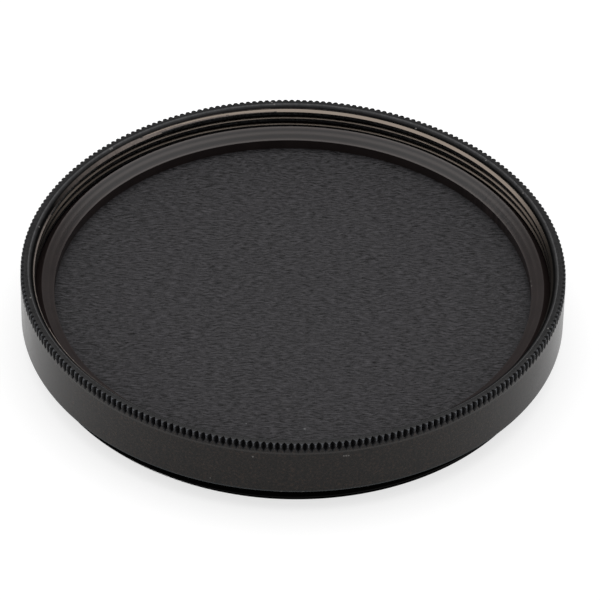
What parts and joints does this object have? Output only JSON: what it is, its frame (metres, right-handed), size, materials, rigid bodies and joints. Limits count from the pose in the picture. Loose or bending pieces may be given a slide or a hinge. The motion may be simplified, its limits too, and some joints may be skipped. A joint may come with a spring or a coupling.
{
  "type": "telescope filter",
  "caption": "Round screw-in telescope filter: a dark disc held by a threaded ring in a low black cell with a finely knurled rim, a female thread in front and a male thread behind.",
  "frame": {"origin": "centre of the male thread's end face, on which the filter rests", "axes": "+Z along the optical axis, from the male thread to the knurled front face; X and Y are interchangeable, because the part is round"},
  "size_m": [0.0506, 0.0506, 0.0079],
  "materials": {
    "cell": "satin black anodised",
    "ring": "satin black anodised, turned",
    "disc": "matte dark neutral"
  },
  "bodies": {
    "root": {"filter_cell": "cell", "retaining_ring": "ring", "filter_disc": "disc"}
  },
  "joints": []
}
